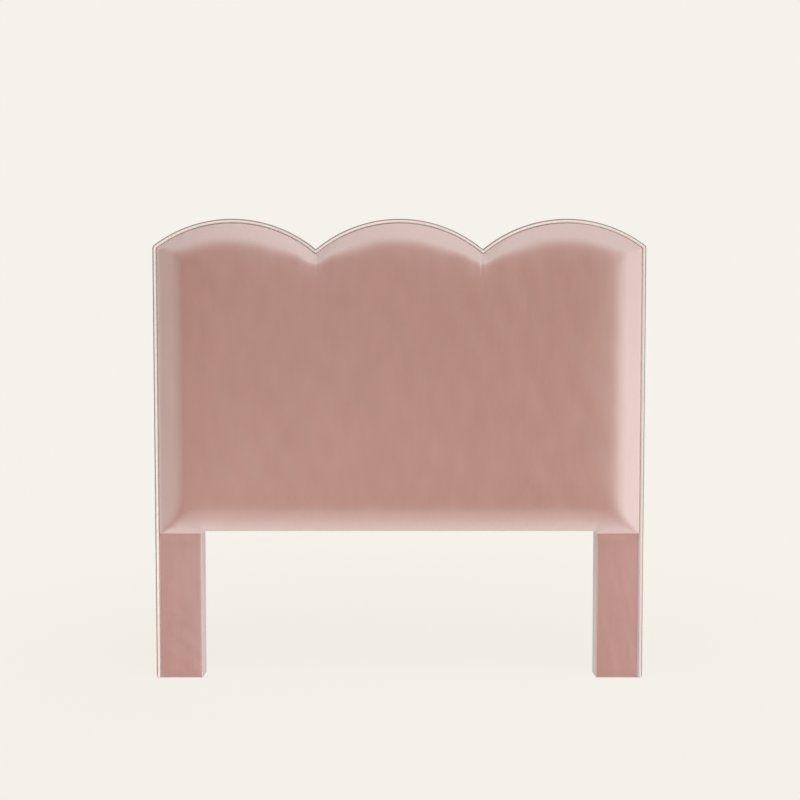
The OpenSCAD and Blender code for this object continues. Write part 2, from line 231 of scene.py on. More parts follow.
def crest_distance(x, z):
    """Distance from the board's scalloped crest, measured towards the inside."""
    x = np.abs(x)
    cusp = math.acos(CUSP_X / LOBE_R)
    far = np.full(np.shape(x), 9.0)
    centre_angle = np.arctan2(z - LOBE_Z, x)
    outer_angle = np.arctan2(z - LOBE_Z, x - LOBE_PITCH)
    centre = np.where(centre_angle > cusp, LOBE_R - np.hypot(x, z - LOBE_Z), far)
    inside = (outer_angle < math.pi - cusp) & (outer_angle > 0.2)
    outer = np.where(inside, LOBE_R - np.hypot(x - LOBE_PITCH, z - LOBE_Z), far)
    notch = np.hypot(x - CUSP_X, z - CUSP_Z)
    return np.minimum(np.minimum(centre, outer), notch)


# Slopes of the pad's roll at distances in millimetres from its edge: the crest, the sides, the lower edge
CREST_ROLL = [(0, 0.50), (30, 0.50), (45, 0.44), (54, 0.32), (74, 0.18), (93, 0.10), (112, 0.04), (140, 0)]
SIDE_ROLL = [(0, 0.50), (48, 0.50), (60, 0.42), (75, 0.31), (93, 0.20), (112, 0.11), (130, 0.06), (160, 0)]
LOW_ROLL = [(0, 0.62), (12, 0.50), (30, 0.40), (49, 0.26), (75, 0.18), (97, 0.10), (130, 0.04), (160, 0)]
PAD_RISE = PAD_D + 0.004
EDGE_SLOPE, EDGE_REACH = 5.0, 0.002


def roll_table(slopes):
    """Distances and heights of a roll that starts steeply at the edge, and reaches the pad's full rise."""
    at, value = np.array(slopes).T
    s = np.linspace(0, 0.2, 800)
    edge = EDGE_SLOPE * EDGE_REACH * (1 - np.exp(-s / EDGE_REACH))
    slope = np.interp(s, at / 1000, value)
    run = np.concatenate([[0], np.cumsum((slope[1:] + slope[:-1]) / 2 * np.diff(s))])
    return s, edge + run * (PAD_RISE - edge[-1]) / run[-1]


ROLLS = {name: roll_table(slopes) for name, slopes in
         (("crest", CREST_ROLL), ("side", SIDE_ROLL), ("low", LOW_ROLL))}


def edge_distances(x, z):
    """Distances from the pad's crest, side and lower edges. The crest's grow faster close under a cusp."""
    notch = np.hypot(np.abs(x) - CUSP_X, z - CUSP_Z)
    crest = (crest_distance(x, z) - COVER_EDGE) * (1 + 1.2 * np.exp(-(notch / 0.075) ** 2))
    side = HALF_W - np.abs(x) - COVER_EDGE
    above = np.exp(-(np.maximum(z - PAD_LOW_Z, 0) / 0.018) ** 2)
    wide = PAD_LOW_Z - LEG_LAP * smooth((np.abs(x) - INNER_X + 0.07) / 0.12)
    low = z - (low_edge(x) * above + wide * (1 - above)) - COVER_EDGE
    return [np.maximum(d, 0) for d in (crest, side, low)]


def pad_height(x, z):
    crest, side, low = edge_distances(x, z)
    return soft_min(soft_min(np.interp(crest, *ROLLS["crest"]), np.interp(side, *ROLLS["side"])),
                    np.interp(low, *ROLLS["low"]))


def pad_distance(x, z):
    """Distance from the nearest edge of the pad."""
    return np.minimum.reduce(edge_distances(x, z))


def pad_outline(inset):
    """Closed outline of the pad, inset from the board's edge, anticlockwise from the middle of its foot."""
    c = max(CORNER_R - inset, 0.0006)
    r, side = LOBE_R - inset, HALF_W - inset
    cx = side - c
    cz = LOBE_Z + math.sqrt((r - c) ** 2 - (cx - LOBE_PITCH) ** 2)
    turn = math.atan2(cz - LOBE_Z, cx - LOBE_PITCH)
    cusp = math.acos(CUSP_X / LOBE_R)
    x = np.concatenate([
        np.linspace(0, STEP_IN - 0.004, 72, endpoint=False),
        np.linspace(STEP_IN - 0.004, STEP_OUT + 0.003, 8, endpoint=False),
        np.linspace(STEP_OUT + 0.003, side, 16, endpoint=False),
    ])
    low = np.stack([x, low_edge(x) + inset], 1)
    z = np.linspace(low_edge(side) + inset, cz, 100, endpoint=False)
    up = np.stack([np.full(len(z), side), z], 1)

    def arc(px, pz, radius, start, end, count):
        a = np.linspace(start, end, count, endpoint=False)
        return np.stack([px + radius * np.cos(a), pz + radius * np.sin(a)], 1)

    half = np.concatenate([
        low, up,
        arc(cx, cz, c, 0, turn, 2),
        arc(LOBE_PITCH, LOBE_Z, r, turn, math.pi - cusp, 64),
        arc(CUSP_X, CUSP_Z, inset, -cusp, cusp - math.pi, 8),
        arc(0, LOBE_Z, r, cusp, math.pi / 2, 34),
    ])
    top = [[0, LOBE_Z + r]]
    mirrored = half[1:][::-1] * np.array([-1.0, 1.0])
    return np.concatenate([half, top, mirrored])


def pad_points():
    """Points of the pad's front: rings along its edge, then a lattice, closer under the cusps."""
    rings = [pad_outline(COVER_EDGE + s) for s in RING_STEPS]
    last = COVER_EDGE + RING_STEPS[-1]
    xs = np.arange(-63, 64) * LATTICE
    zs = PAD_LOW_Z + np.arange(0, 90) * LATTICE
    gx, gz = np.meshgrid(xs, zs)
    coarse = np.stack([gx.ravel(), gz.ravel()], 1)
    fold = []
    for side in (-1, 1):
        fx, fz = np.meshgrid(np.linspace(-0.021, 0.021, 13), np.linspace(0.024, 0.12, 25))
        fold.append(np.stack([side * CUSP_X + fx.ravel(), CUSP_Z - fz.ravel()], 1))
    fold = np.concatenate(fold)
    near = (np.abs(np.abs(coarse[:, 0]) - CUSP_X) < 0.027) & (coarse[:, 1] > CUSP_Z - 0.127)
    lattice = np.concatenate([coarse[~near], fold])
    raw = np.minimum(
        np.minimum(crest_distance(lattice[:, 0], lattice[:, 1]), HALF_W - np.abs(lattice[:, 0])),
        lattice[:, 1] - low_edge(lattice[:, 0]),
    )
    over = lattice[:, 1] > LOBE_Z
    x = np.abs(lattice[:, 0])
    in_lobe = (np.hypot(x, lattice[:, 1] - LOBE_Z) < LOBE_R) | (
        np.hypot(x - LOBE_PITCH, lattice[:, 1] - LOBE_Z) < LOBE_R)
    keep = (raw > last + 0.005) & (~over | in_lobe)
    return rings, lattice[keep]


def pad_front():
    """Vertices, faces and ring sizes of the pad's front as a flat pattern in x and z."""
    rings, lattice = pad_points()
    count = len(rings[0])
    points = np.concatenate(rings + [lattice])
    inner = len(rings) - 1
    loop = [(inner * count + k, inner * count + (k + 1) % count) for k in range(count)]
    offset = inner * count
    inner_points = [Vector(p) for p in points[offset:]]
    edges = [(a - offset, b - offset) for a, b in loop]
    found = delaunay_2d_cdt(inner_points, edges, [], 1, 1e-7)
    assert len(found[0]) == len(inner_points), "the pad's pattern has points that coincide"
    source = [ids[0] for ids in found[3]]
    faces = [tuple(offset + source[i] for i in f) for f in found[2]]
    for ring in range(inner):
        for k in range(count):
            a, b = ring * count + k, ring * count + (k + 1) % count
            faces.append((a, b, b + count, a + count))
    return points, faces, count


def join_triangles(obj):
    bm = bmesh.new()
    bm.from_mesh(obj.data)
    bmesh.ops.join_triangles(
        bm, faces=[f for f in bm.faces if len(f.verts) == 3],
        angle_face_threshold=math.radians(50), angle_shape_threshold=math.radians(50))
    bm.to_mesh(obj.data)
    bm.free()


def relax(obj, field, rounds):
    """Averages vectors held by the points of a mesh over their neighbours, round after round."""
    ends = np.empty(len(obj.data.edges) * 2, dtype=np.int32)
    obj.data.edges.foreach_get("vertices", ends)
    a, b = ends.reshape(-1, 2).T
    n = len(field)
    near = np.bincount(a, minlength=n) + np.bincount(b, minlength=n)
    for _ in range(rounds):
        total = np.stack(
            [np.bincount(a, field[b, k], n) + np.bincount(b, field[a, k], n) for k in range(3)], 1)
        field = (field + total / near[:, None]) / 2
    return field


def inflate(obj, free, cap, pressure):
    """Puffs the mesh out with Blender's cloth. Points hold where free is 0, and none moves past cap."""
    start = read_points(obj)
    group = obj.vertex_groups.new(name="held")
    for i, share in enumerate(1 - free):
        if share > 0.001:
            group.add([i], float(share), "REPLACE")
    mod = obj.modifiers.new("puff", "CLOTH")
    mod.settings.vertex_group_mass = "held"
    mod.settings.use_pressure = True
    mod.settings.uniform_pressure_force = pressure
    mod.settings.effector_weights.gravity = 0
    mod.settings.quality = 5
    mod.settings.tension_stiffness = 25
    mod.settings.compression_stiffness = 25
    mod.settings.bending_stiffness = 4
    mod.collision_settings.use_collision = False
    for number in range(1, 21):
        scene.frame_set(number)
    depsgraph = bpy.context.evaluated_depsgraph_get()
    moved = np.empty(len(start) * 3)
    obj.evaluated_get(depsgraph).data.vertices.foreach_get("co", moved)
    obj.modifiers.remove(mod)
    obj.vertex_groups.remove(group)
    scene.frame_set(1)
    shift = moved.reshape(-1, 3) - start
    length = np.linalg.norm(shift, axis=1)
    shift *= (cap * np.tanh(length / cap) / np.maximum(length, 1e-9))[:, None]
    shift[~np.isfinite(shift)] = 0
    shift = relax(obj, shift, 60)
    write_points(obj, start + shift * free[:, None])


PUFF_CAP = 0.0012
PUFF_PRESSURE = 4.0


def build_pad():
    """The velvet cover of the pad: crowned front, edges drawn in at the welt and under the lower edge."""
    flat, faces, count = pad_front()
    distance = pad_distance(flat[:, 0], flat[:, 1])
    height = pad_height(flat[:, 0], flat[:, 1])
    height[:count] = 0
    points = np.stack([flat[:, 0], FACE_Y - height, flat[:, 1]], 1)
    front = make_object("pad_cover", points, faces)
    if front.data.polygons[len(faces) // 3].normal.y > 0:
        front.data.flip_normals()
    join_triangles(front)
    start = points.copy()
    start[:, 1] = FACE_Y - height * 0.985
    write_points(front, start)
    free = smooth((distance - 0.004) / 0.045)
    inflate(front, free, PUFF_CAP, PUFF_PRESSURE)
    return front


# The pleat under each cusp: its place in x, and its share of the full depth
PLEATS = ((0.005 - CUSP_X, 0.5), (CUSP_X - 0.007, 1.0))
PLEAT_D, PLEAT_RIDGE, PLEAT_SHOULDER = 0.0021, 0.0016, 0.0006
LIP_D = 0.0022


def shape_pad(front):
    """Small forms made after the simulation: pleats under the cusps, the lower lip, slight unevenness."""
    co = read_points(front)
    x, z = co[:, 0], co[:, 2]
    distance = np.maximum(pad_distance(x, z), 0)
    for middle, share in PLEATS:
        down = CUSP_Z - COVER_EDGE - z
        along = smooth(down / 0.012) * (1 - smooth(down / 0.085))
        across = x - middle - 0.02 * down
        valley = np.exp(-(across / 0.0022) ** 2)
        ridge = np.exp(-((across - 0.0062) / 0.0040) ** 2)
        shoulder = np.exp(-((across + 0.008) / 0.007) ** 2)
        co[:, 1] += share * along * (PLEAT_D * valley - PLEAT_RIDGE * ridge - PLEAT_SHOULDER * shoulder)
    low = z - low_edge(x) - COVER_EDGE
    lip = np.exp(-((low - 0.0035) / 0.0028) ** 2)
    co[:, 1] -= LIP_D * lip
    co[:, 2] += LIP_D * (1 - smooth(low / 0.004)) * (low < 0.004)
    calm = smooth((distance - 0.01) / 0.05)
    co[:, 1] += calm * (0.0007 * waves(co, 0.32, 3) + 0.00025 * waves(co, 0.09, 4))
    write_points(front, co)


def close_back(obj, rim_y):
    """Closes an open front with a flat back, through the loop of its border edges."""
    bm = bmesh.new()
    bm.from_mesh(obj.data)
    border = [e for e in bm.edges if len(e.link_faces) == 1]
    made = bmesh.ops.extrude_edge_only(bm, edges=border)["geom"]
    for v in [g for g in made if isinstance(g, bmesh.types.BMVert)]:
        v.co.y = rim_y
    loop = [e for e in bm.edges if len(e.link_faces) == 1]
    bmesh.ops.triangle_fill(bm, use_beauty=True, edges=loop)
    bmesh.ops.recalc_face_normals(bm, faces=bm.faces)
    bm.to_mesh(obj.data)
    bm.free()


def inner_layer(name, front, edge, lower):
    """A closed layer under the cover: its front drawn in by edge and lowered by the thickness above it."""
    mesh = front.data.copy()
    obj = bpy.data.objects.new(name, mesh)
    scene.collection.objects.link(obj)
    co = read_points(front)
    no = read_normals(front)
    shift = edge * (1 - smooth(pad_distance(co[:, 0], co[:, 2]) / 0.07))
    to_middle = np.stack([-np.sign(co[:, 0]) * np.minimum(np.abs(co[:, 0]) / HALF_W, 1) ** 6,
                          np.where(co[:, 2] > 1.0, -1.0, 1.0)], 1)
    co[:, 0] += to_middle[:, 0] * shift
    co[:, 2] += to_middle[:, 1] * shift
    facing = np.maximum(np.abs(no[:, 1]), 0.55)
    co[:, 1] = np.minimum(co[:, 1] + lower / facing, FACE_Y - 0.0012)
    write_points(obj, co)
    close_back(obj, FACE_Y - 0.0004)
    return obj


# ---------------------------------------------------------------- the welt and the boxing

def build_welt():
    """Velvet round a cord, along the front edge: a round tube, mitred at the cusps, a little uneven."""
    ring = np.linspace(0, 2 * math.pi, 20, endpoint=False)
    sections = []
    for a in ring:
        offset = WELT_R * math.cos(a)
        side = side_points(offset, FOOT_Z, 220)[:-1]
        crest = crest_points(offset)
        left = side[::-1] * np.array([-1.0, 1.0])
        line = np.concatenate([side, crest, left])
        y = np.full(len(line), FACE_Y - 0.0002 - WELT_R + WELT_R * math.sin(a))
        sections.append(np.stack([line[:, 0], y, line[:, 1]], 1))
    grid = np.stack(sections, 1)
    rows = len(grid)
    middle = grid.mean(axis=1, keepdims=True)
    wobble = 0.025 * waves(middle[:, 0, :], 0.05, 21) + 0.02 * waves(middle[:, 0, :], 0.019, 22)
    grid = middle + (grid - middle) * (1 + wobble)[:, None, None]
    run = np.minimum(np.arange(rows), np.arange(rows)[::-1])
    for k, share in ((0, 0.55), (1, 0.9)):
        rows_here = np.where(run == k)[0]
        grid[rows_here] = middle[rows_here] + (grid[rows_here] - middle[rows_here]) * share
    return tube_mesh("welt", list(grid))


BOXING_IN = 0.0013
WRAP = 0.021
BEND_R = 0.0035


def boxing_profile():
    """Closed section of the boxing, as offset from the board's edge and y: crowned over its batting, then
    wrapped round onto the back."""
    y0, y1 = FACE_Y + 0.0003, FABRIC_BACK_Y - 0.0004
    t = np.linspace(0, 1, 15)
    ys = y0 + 0.0025 + (y1 - BEND_R - y0 - 0.0025) * t
    outer = np.stack([EDGE_T - 0.0008 + 0.0012 * np.sin(math.pi * t) ** 0.7, ys], 1)
    bend = np.linspace(0, math.pi / 2, 6)[1:]
    corner = np.stack([EDGE_T - 0.0008 - BEND_R * (1 - np.cos(bend)), y1 - BEND_R * (1 - np.sin(bend))], 1)
    wrap = np.array([[0.0, y1], [-0.006, y1], [-WRAP + 0.004, y1], [-WRAP, y1 - 0.0002]])
    back = np.array([[-WRAP, BACK_Y + 0.0001], [-0.006, BACK_Y + 0.0001], [BOXING_IN, BACK_Y + 0.0001],
                     [BOXING_IN, (y0 + y1) / 2], [BOXING_IN, y0], [EDGE_T - 0.0035, y0]])
    front = np.array([[EDGE_T - 0.0016, y0 + 0.0008]])
    return np.concatenate([outer, corner, wrap, back, front])


def build_boxing(name, part):
    """One band of boxing: the left side, the crest or the right side."""
    profile = boxing_profile()
    lines = []
    for offset, y in profile:
        if part == "crest":
            line = crest_points(offset)
        else:
            line = side_points(offset, FOOT_Z, 130)
            line[:, 0] *= 1 if part == "right" else -1
        lines.append(np.stack([line[:, 0], np.full(len(line), y), line[:, 1]], 1))
    grid = np.stack(lines, 1)
    rows = len(grid)
    outer = profile[:, 0] > EDGE_T - 0.002
    centre = grid.mean(axis=1)
    uneven = 0.00035 * waves(centre, 0.11, 31 + len(name)) + 0.0002 * waves(centre, 0.03, 41 + len(name))
    if part == "crest":
        away = grid[:, 5] - grid[:, -4]
        away[:, 1] = 0
        away /= np.linalg.norm(away, axis=1)[:, None]
    else:
        away = np.tile([1.0 if part == "right" else -1.0, 0, 0], (rows, 1))
    middle = np.sin(np.clip((profile[:, 1] - FACE_Y) / (FABRIC_BACK_Y - FACE_Y), 0, 1) * math.pi)
    grid = grid + (outer * middle)[None, :, None] * uneven[:, None, None] * away[:, None, :]
    return tube_mesh(name, list(grid))


# ---------------------------------------------------------------- the legs

LEG_SIDE_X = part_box("right_leg_cover")[0].x
LEG_FRONT_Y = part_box("right_leg_cover")[0].y
LEG_OUT_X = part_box("right_leg_cover")[1].x
LEG_TOP_Z = PAD_LOW_Z - LEG_LAP + COVER_EDGE + 0.0035
WRAP_TOP_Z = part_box("right_leg_cover")[1].z
DUST_IN = 0.008
BACK_TOP_Z = PANEL_Z + DUST_IN + 0.003


def rounded_path(points, radii, step):
    """A path through points with rounded corners, sampled about every step."""
    path = []
    for k, p in enumerate(points):
        p = np.array(p, float)
        if radii[k] == 0:
            path.append(p)
            continue
        before, after = np.array(points[k - 1], float), np.array(points[k + 1], float)
        u, v = before - p, after - p
        u, v = u / np.linalg.norm(u), v / np.linalg.norm(v)
        centre = p + (u + v) * radii[k]
        for a in np.linspace(0, math.pi / 2, 7):
            path.append(centre - v * radii[k] * math.cos(a) - u * radii[k] * math.sin(a))
    dense = [path[0]]
    for a, b in zip(path[:-1], path[1:]):
        n = max(1, int(round(np.linalg.norm(b - a) / step)))
        dense += [a + (b - a) * k / n for k in range(1, n + 1)]
    return np.array(dense)


def build_leg(name, side):
    """The velvet round one leg, over thin batting: front, inner side and back, turned in at the foot.
    Its back runs up under the dust cover."""
    outer = rounded_path(
        [(LEG_OUT_X, LEG_FRONT_Y), (LEG_SIDE_X, LEG_FRONT_Y), (LEG_SIDE_X, FABRIC_BACK_Y - 0.0003),
         (LEG_OUT_X, FABRIC_BACK_Y - 0.0003)], [0, 0.0038, 0.003, 0], 0.006)
    tangent = np.gradient(outer, axis=0)
    tangent /= np.linalg.norm(tangent, axis=1)[:, None]
    inward = np.stack([-tangent[:, 1], tangent[:, 0]], 1)
    if inward[3] @ np.array([0.0, 1.0]) < 0:
        inward = -inward
    run = np.concatenate([[0], np.cumsum(np.linalg.norm(np.diff(outer, axis=0), axis=1))])
    front_len = LEG_OUT_X - LEG_SIDE_X
    on_front = run < front_len
    puff = np.where(on_front, np.sin(np.clip(run / front_len, 0, 1) * math.pi) ** 0.6, 0)
    depth = np.where(on_front, 0.0027, 0.0024)
    depth = np.where(outer[:, 1] > BACK_Y, VELVET_T, depth)
    zs = np.concatenate([
        FOOT_Z + np.array([0.0, 0.0006, 0.0016, 0.0034]),
        np.linspace(FOOT_Z + 0.009, WRAP_TOP_Z - 0.004, 78), [WRAP_TOP_Z]])
    low_turn = np.array([0.0016, 0.0007, 0.0002, 0.0])
    rows = []
    for k, z in enumerate(zs):
        tuck = low_turn[k] if k < 4 else 0.0
        end = 1 - smooth((z - (LEG_TOP_Z - 0.03)) / 0.03) * 0.8
        line = outer + inward * (tuck - 0.0011 * puff[:, None] * end * smooth((z - FOOT_Z) / 0.03))
        rows.append(np.stack([side * line[:, 0], line[:, 1], np.full(len(line), z)], 1))
    grid = np.array(rows)
    above = np.maximum(grid[:, :, 2] - LEG_TOP_Z, 0)
    front_part = smooth((LEG_FRONT_Y + 0.0105 - grid[:, :, 1]) / 0.004)
    grid[:, :, 2] -= above * front_part
    grid[-1, grid[-1, :, 1] > BACK_Y, 2] = BACK_TOP_Z
    flat = grid.reshape(-1, 3)
    ripple = 0.00045 * waves(flat, 0.15, 51 + side) + 0.0002 * waves(flat, 0.04, 61 + side)
    hold = np.minimum(smooth((flat[:, 2] - FOOT_Z) / 0.02), 1)
    direction = np.tile(inward, (len(zs), 1))
    amount = (ripple * hold)[:, None] * direction * np.tile(on_front, len(zs))[:, None]
    flat[:, 0] += side * amount[:, 0]
    flat[:, 1] += amount[:, 1]
    outer_grid = flat.reshape(grid.shape)
    inner_grid = outer_grid.copy()
    inner_grid[:, :, 0] += side * (inward[:, 0] * depth)[None, :]
    inner_grid[:, :, 1] += (inward[:, 1] * depth)[None, :]
    inner_grid[0, :, 2] += 0.0004
    rows_n, cols = grid.shape[:2]
    points = np.concatenate([outer_grid.reshape(-1, 3), inner_grid.reshape(-1, 3)])
    base = rows_n * cols
    faces = [tuple(f) for f in lattice_faces(rows_n, cols)]
    faces += [tuple(base + i for i in f[::-1]) for f in lattice_faces(rows_n, cols)]
    for k in range(cols - 1):
        faces.append((k + 1, k, base + k, base + k + 1))
        top = (rows_n - 1) * cols
        faces.append((top + k, top + k + 1, base + top + k + 1, base + top + k))
    for k in range(rows_n - 1):
        a, b = k * cols, (k + 1) * cols
        faces.append((a, b, base + b, base + a))
        a, b = a + cols - 1, b + cols - 1
        faces.append((b, a, base + a, base + b))
    obj = make_object(name, points, faces)
    face_outwards(obj)
    cut_bolt_holes(obj, side)
    return obj


BOLT_R = 0.0045
BOLT_ZS = (0.190, 0.290)


def cut_bolt_holes(obj, side):
    """Cuts the bed-frame bolt holes through the fabric on the back of a leg."""
    cutter_points, cutter_faces = [], []
    n = 24
    for z in BOLT_ZS:
        base = len(cutter_points)
        for y in (BACK_Y - 0.004, FABRIC_BACK_Y + 0.004):
            for k in range(n):
                a = 2 * math.pi * k / n
                cutter_points.append((side * POST_X + BOLT_R * math.cos(a), y, z + BOLT_R * math.sin(a)))
        for k in range(n):
            j = (k + 1) % n
            cutter_faces.append((base + k, base + j, base + n + j, base + n + k))
        cutter_faces.append(tuple(base + k for k in range(n - 1, -1, -1)))
        cutter_faces.append(tuple(base + n + k for k in range(n)))
    cutter = make_object("cutter", cutter_points, cutter_faces, False)
    face_outwards(cutter)
    mod = obj.modifiers.new("holes", "BOOLEAN")
    mod.operation = "DIFFERENCE"
    mod.solver = "EXACT"
    mod.object = cutter
    apply_modifiers(obj)
    bpy.data.objects.remove(cutter)


# ---------------------------------------------------------------- the back and the underside

STAPLE_PITCH = 0.075
DUST_SAG = 0.0008


def build_dust_cover():
    """Thin cambric over the open back, pulled a little between its staples."""
    crest = crest_points(-DUST_IN)[::3]
    low = PANEL_Z + DUST_IN
    side_z = np.linspace(low, corner_place(-DUST_IN)[2], 90, endpoint=False)
    right = np.stack([np.full(90, HALF_W - DUST_IN), side_z], 1)
    left = right[::-1] * np.array([-1.0, 1.0])
    bottom = np.stack([np.linspace(-HALF_W + DUST_IN, HALF_W - DUST_IN, 150)[1:-1], np.full(148, low)], 1)
    outline = np.concatenate([right, crest, left, bottom])
    gx, gz = np.meshgrid(np.arange(-62, 63) * LATTICE, low + np.arange(1, 80) * LATTICE)
    inside = np.stack([gx.ravel(), gz.ravel()], 1)
    x = np.abs(inside[:, 0])
    raw = np.minimum(HALF_W - x, crest_distance(inside[:, 0], inside[:, 1]))
    in_lobe = (inside[:, 1] < LOBE_Z) | (np.hypot(x, inside[:, 1] - LOBE_Z) < LOBE_R) | (
        np.hypot(x - LOBE_PITCH, inside[:, 1] - LOBE_Z) < LOBE_R)
    inside = inside[(raw > DUST_IN + 0.006) & in_lobe]
    points = np.concatenate([outline, inside])
    n = len(outline)
    rim = [(k, (k + 1) % n) for k in range(n)]
    found = delaunay_2d_cdt([Vector(p) for p in points], rim, [], 1, 1e-7)
    pts = np.array([[p[0], 0, p[1]] for p in found[0]])
    edge = np.minimum.reduce([
        HALF_W - np.abs(pts[:, 0]) - DUST_IN,
        crest_distance(pts[:, 0], pts[:, 2]) - DUST_IN,
        pts[:, 2] - low])
    along = np.cos(pts[:, 0] * 2 * math.pi / STAPLE_PITCH) * 0.5 + 0.5
    slack = smooth((edge - 0.012) / 0.08)
    sag = DUST_SAG * slack * (0.4 + 0.6 * np.minimum(np.abs(waves(pts, 0.28, 71)), 1))
    pull = 0.00025 * (1 - smooth(edge / 0.05)) * (1 - along)
    pts[:, 1] = FABRIC_BACK_Y - 0.0001 - sag + pull
    obj = make_object("dust_sheet", pts, found[2])
    mod = obj.modifiers.new("thickness", "SOLIDIFY")
    mod.thickness = 0.0002
    mod.offset = 0
    apply_modifiers(obj)
    face_outwards(obj)
    return obj


def build_underside():
    """The margin of the pad's velvet, drawn under the bottom rail and up onto its back."""
    top = PANEL_Z - 0.0003
    half = LEG_SIDE_X - 0.0004
    path = rounded_path(
        [(FACE_Y - 0.001, top - 0.0002), (FABRIC_BACK_Y - 0.0003, top - 0.0016 + 0.0002),
         (FABRIC_BACK_Y - 0.0003, PANEL_Z + 0.024)], [0, 0.003, 0], 0.006)
    tangent = np.gradient(path, axis=0)
    tangent /= np.linalg.norm(tangent, axis=1)[:, None]
    inward = np.stack([-tangent[:, 1], tangent[:, 0]], 1)
    columns = 170
    rows = []
    for t in np.linspace(-half, half, columns):
        rows.append(np.stack([np.full(len(path), t), path[:, 0], path[:, 1]], 1))
    grid = np.array(rows)
    sag = 0.0004 * waves(grid.reshape(-1, 3), 0.1, 81).reshape(grid.shape[:2])
    grid[:, :, 2] += np.where(grid[:, :, 1] < BACK_Y - 0.004, np.minimum(sag, 0.0002), 0)
    inner = grid.copy()
    inner[:, :, 1] += inward[:, 0][None, :] * VELVET_T
    inner[:, :, 2] += inward[:, 1][None, :] * VELVET_T
    sections = [np.concatenate([grid[k], inner[k][::-1]]) for k in range(columns)]
    return tube_mesh("underside_velvet", sections)


# ---------------------------------------------------------------- materials

